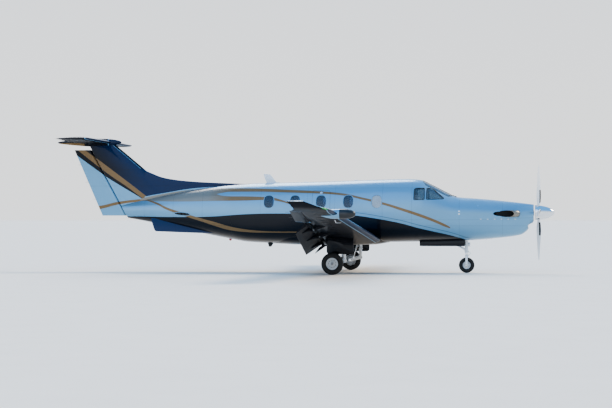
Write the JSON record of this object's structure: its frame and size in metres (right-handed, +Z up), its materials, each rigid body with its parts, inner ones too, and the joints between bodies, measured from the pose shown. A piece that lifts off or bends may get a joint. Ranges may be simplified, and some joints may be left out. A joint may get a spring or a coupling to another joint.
{
  "type": "single-engine turboprop aircraft",
  "caption": "Low-wing turboprop aircraft with a T-tail, on retractable tricycle gear, with flaps down, cabin doors, control surfaces and turning propeller and wheels.",
  "frame": {"origin": "on the ground under the middle of the length and of the span", "axes": "+X to the nose, +Y to port, +Z up"},
  "size_m": [14.4, 16.304, 3.87],
  "materials": {
    "silver_paint": "gloss",
    "wing_paint": "gloss",
    "navy_metal": "gloss",
    "navy_composite": "gloss",
    "blue_composite": "gloss",
    "silver_composite": "gloss",
    "white_composite": "satin",
    "polished_alloy": "polished",
    "blade_paint": "satin",
    "heat_tinted_steel": "satin",
    "engine_grey": "matte",
    "acrylic_glazing": "polished",
    "seat_leather": "satin",
    "cabin_carpet": "matte",
    "cabin_trim": "matte",
    "dark_trim": "matte",
    "radome": "satin",
    "gear_enamel": "gloss",
    "tyre_rubber": "matte",
    "wheel_alloy": "satin"
  },
  "bodies": {
    "airframe": {"engine_cowling": "silver_paint", "engine_block": "engine_grey", "exhaust_stack_left": "heat_tinted_steel", "exhaust_stack_right": "heat_tinted_steel", "fuselage_shell": "silver_paint", "tail_cone": "silver_paint", "windscreen_left": "acrylic_glazing", "windscreen_right": "acrylic_glazing", "side_window_rear_left": "acrylic_glazing", "side_window_rear_right": "acrylic_glazing", "side_window_front_left": "acrylic_glazing", "side_window_front_right": "acrylic_glazing", "cabin_floor": "cabin_carpet", "aft_bulkhead": "cabin_trim", "instrument_panel": "dark_trim", "cockpit_seat_left": "seat_leather", "cockpit_seat_right": "seat_leather", "cabin_seat_front_left": "seat_leather", "cabin_seat_front_right": "seat_leather", "cabin_seat_rear_left": "seat_leather", "cabin_seat_rear_right": "seat_leather", "wing_centre_fairing": "navy_composite", "wing_left": "wing_paint", "wing_right": "wing_paint", "radar_pod": "radome", "vertical_fin": "blue_composite", "tailplane": "navy_composite", "ventral_strake_left": "blue_composite", "ventral_strake_right": "blue_composite", "roof_antenna": "white_composite", "main_gear_leg_left": "gear_enamel", "main_gear_leg_right": "gear_enamel", "main_gear_door_left": "navy_composite", "main_gear_door_right": "navy_composite", "nose_gear_leg": "gear_enamel", "nose_gear_door_left": "navy_composite", "nose_gear_door_right": "navy_composite"},
    "propeller": {"propeller_spinner": "polished_alloy", "propeller_blades": "blade_paint"},
    "nose_gear_fork": {"nose_gear_fork": "gear_enamel"},
    "nose_wheel": {"nose_wheel_tyre": "tyre_rubber", "nose_wheel_rim": "wheel_alloy"},
    "main_wheel_left": {"main_wheel_left_tyre": "tyre_rubber", "main_wheel_left_rim": "wheel_alloy"},
    "main_wheel_right": {"main_wheel_right_tyre": "tyre_rubber", "main_wheel_right_rim": "wheel_alloy"},
    "flap_left": {"flap_left": "navy_metal"},
    "flap_right": {"flap_right": "navy_metal"},
    "aileron_left": {"aileron_left": "wing_paint"},
    "aileron_right": {"aileron_right": "wing_paint"},
    "elevator": {"elevator_left": "navy_composite", "elevator_right": "navy_composite"},
    "rudder": {"rudder": "silver_composite"},
    "airstair_door": {"airstair_door": "silver_paint"},
    "cargo_door": {"cargo_door": "silver_paint"}
  },
  "joints": [
    {"name": "propeller_spin", "type": "hinge", "parent": "airframe", "child": "propeller", "pos_m": [6.76, 0, 1.7], "axis": [1, 0, 0], "continuous": true},
    {"name": "nose_steering", "type": "hinge", "parent": "airframe", "child": "nose_gear_fork", "pos_m": [4.74, 0, 0.5], "axis": [0, 0, 1], "range_deg": [-60, 60]},
    {"name": "nose_wheel_spin", "type": "hinge", "parent": "nose_gear_fork", "child": "nose_wheel", "pos_m": [4.74, 0, 0.218], "axis": [0, 1, 0], "continuous": true},
    {"name": "main_wheel_left_spin", "type": "hinge", "parent": "airframe", "child": "main_wheel_left", "pos_m": [1.19, 2.27, 0.3], "axis": [0, 1, 0], "continuous": true},
    {"name": "main_wheel_right_spin", "type": "hinge", "parent": "airframe", "child": "main_wheel_right", "pos_m": [1.19, -2.27, 0.3], "axis": [0, 1, 0], "continuous": true},
    {"name": "flap_left_hinge", "type": "hinge", "parent": "airframe", "child": "flap_left", "pos_m": [0.88068, 0.89, 0.78047], "axis": [0.0344, 0.992, 0.1212], "range_deg": [0, 40]},
    {"name": "flap_right_hinge", "type": "hinge", "parent": "airframe", "child": "flap_right", "pos_m": [0.88068, -0.89, 0.78047], "axis": [-0.0344, 0.992, -0.1212], "range_deg": [0, 40]},
    {"name": "aileron_left_hinge", "type": "hinge", "parent": "airframe", "child": "aileron_left", "pos_m": [0.94878, 5.3, 1.48477], "axis": [0.0437, 0.9928, 0.1119], "range_deg": [-20, 20]},
    {"name": "aileron_right_hinge", "type": "hinge", "parent": "airframe", "child": "aileron_right", "pos_m": [0.94878, -5.3, 1.48477], "axis": [-0.0437, 0.9928, -0.1119], "range_deg": [-20, 20]},
    {"name": "elevator_hinge", "type": "hinge", "parent": "airframe", "child": "elevator", "pos_m": [-6.245, 0, 3.76], "axis": [0, 1, 0], "range_deg": [-15, 25]},
    {"name": "rudder_hinge", "type": "hinge", "parent": "airframe", "child": "rudder", "pos_m": [-5.24, 0, 1.74], "axis": [-0.4811, 0, 0.8767], "range_deg": [-25, 25]},
    {"name": "airstair_hinge", "type": "hinge", "parent": "airframe", "child": "airstair_door", "pos_m": [2.855, 0.655, 1.1], "axis": [-1, 0, 0], "range_deg": [0, 130]},
    {"name": "cargo_door_hinge", "type": "hinge", "parent": "airframe", "child": "cargo_door", "pos_m": [-1.105, 0.53, 2.4], "axis": [1, 0, 0], "range_deg": [0, 95]}
  ],
  "couplings": [
    {"joint": "flap_right_hinge", "follows": "flap_left_hinge", "ratio": 1},
    {"joint": "aileron_right_hinge", "follows": "aileron_left_hinge", "ratio": -1}
  ]
}
